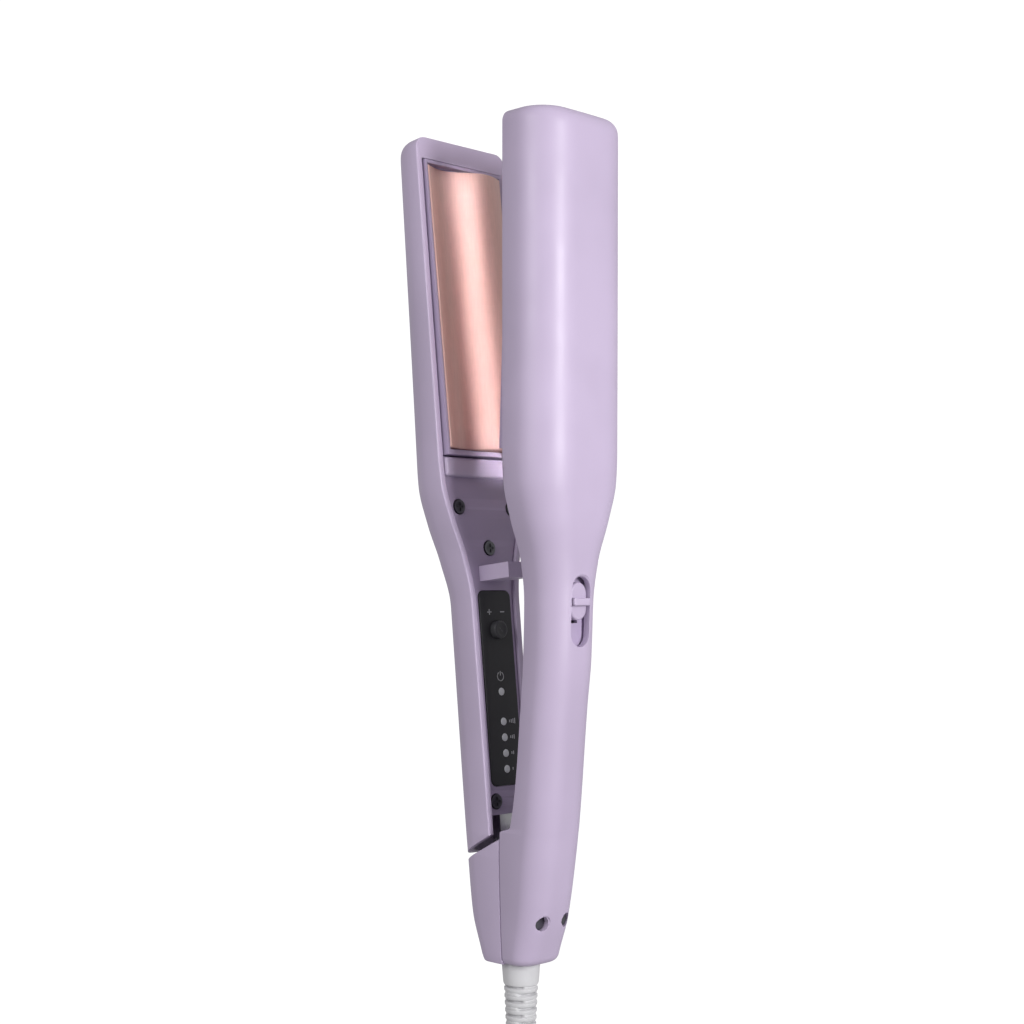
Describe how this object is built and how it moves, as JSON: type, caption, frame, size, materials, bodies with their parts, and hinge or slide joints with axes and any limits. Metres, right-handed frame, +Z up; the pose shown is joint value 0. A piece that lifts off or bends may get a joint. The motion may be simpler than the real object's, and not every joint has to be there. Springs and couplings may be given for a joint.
{
  "type": "hair straightener",
  "caption": "Wide flat iron with wavy heating plates, a hinged upper arm, a slide lock, an inset control panel and a power cord put away as a tied hank.",
  "frame": {"origin": "bottom centre of the iron's box, on the surface that its side lies on; the free cord is left out", "axes": "+X along the arms towards the tips, +Y from the fixed arm to the moving arm, +Z up across the width"},
  "size_m": [0.6753, 0.0808, 0.044],
  "materials": {
    "shell": "satin moulded lilac plastic",
    "inner": "satin moulded lilac plastic",
    "plate": "satin rose-gold coating",
    "ceramic": "bare ceramic",
    "steel": "plain steel",
    "panel": "matt black",
    "button": "matt black",
    "lamp": "frosted lens",
    "board": "coated circuit board",
    "cord": "white flexible plastic"
  },
  "bodies": {
    "fixed_arm": {"fixed_shell": "shell", "fixed_cover": "inner", "base_cover": "shell", "fixed_carrier": "inner", "fixed_plate": "plate", "fixed_heater": "ceramic", "fixed_posts": "inner", "fixed_screws": "steel", "slider_guide": "inner", "hinge_frame": "steel", "hinge_pin": "steel", "opening_spring": "steel", "base_screws": "steel", "cord_clamp": "inner", "strain_relief": "cord", "power_cord": "cord", "cord_hank": "cord", "cord_tie": "cord", "plug_body": "cord", "plug_pins": "steel"},
    "moving_arm": {"moving_shell": "shell", "moving_cover": "inner", "moving_carrier": "inner", "moving_plate": "plate", "moving_heater": "ceramic", "moving_posts": "inner", "moving_screws": "steel", "hinge_tongue": "steel", "catch_block": "shell", "control_panel": "panel", "circuit_board": "board", "tact_switch": "steel", "power_lamp": "lamp", "heat_lamps": "lamp"},
    "lock": {"lock_slider": "shell"},
    "button": {"power_button": "button"}
  },
  "joints": [
    {"name": "arm_hinge", "type": "hinge", "parent": "fixed_arm", "child": "moving_arm", "pos_m": [-0.12, -0.0023, 0.022], "axis": [0, 0, -1], "range_deg": [0, 9], "stiffness_Nm_per_rad": 0.4, "springref_deg": -20.05, "deforming": ["opening_spring"]},
    {"name": "lock_slide", "type": "slide", "parent": "fixed_arm", "child": "lock", "axis": [-1, 0, 0], "range_m": [0, 0.008]},
    {"name": "button_press", "type": "slide", "parent": "moving_arm", "child": "button", "axis": [-0.1045, 0.9945, 0], "range_m": [0, 0.0004], "stiffness_N_per_m": 500, "springref_m": -0.0004}
  ]
}
